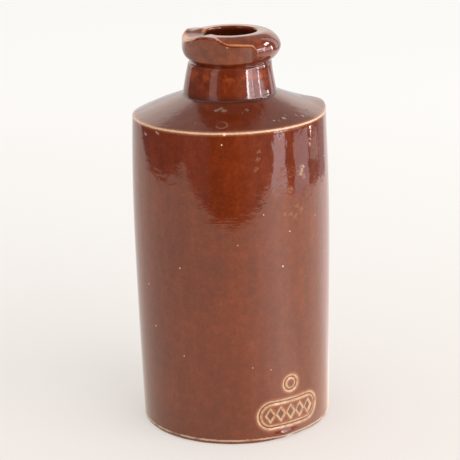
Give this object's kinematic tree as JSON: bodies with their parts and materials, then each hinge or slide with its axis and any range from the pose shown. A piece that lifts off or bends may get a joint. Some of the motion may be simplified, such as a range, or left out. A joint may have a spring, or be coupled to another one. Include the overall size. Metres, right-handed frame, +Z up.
{
  "type": "ink bottle",
  "caption": "Brown glazed stoneware ink bottle: straight thrown wall, sloping shoulder, short neck and a rolled lip pressed into a pouring spout",
  "frame": {"origin": "centre of the foot's underside, on the table", "axes": "+Z up along the bottle, out of the mouth; the spout points to -X; -Y is the side with the pressed mark at its lower right"},
  "size_m": [0.0878, 0.0878, 0.1778],
  "materials": {
    "glaze": "glossy"
  },
  "bodies": {
    "root": {"bottle": "glaze"}
  },
  "joints": []
}
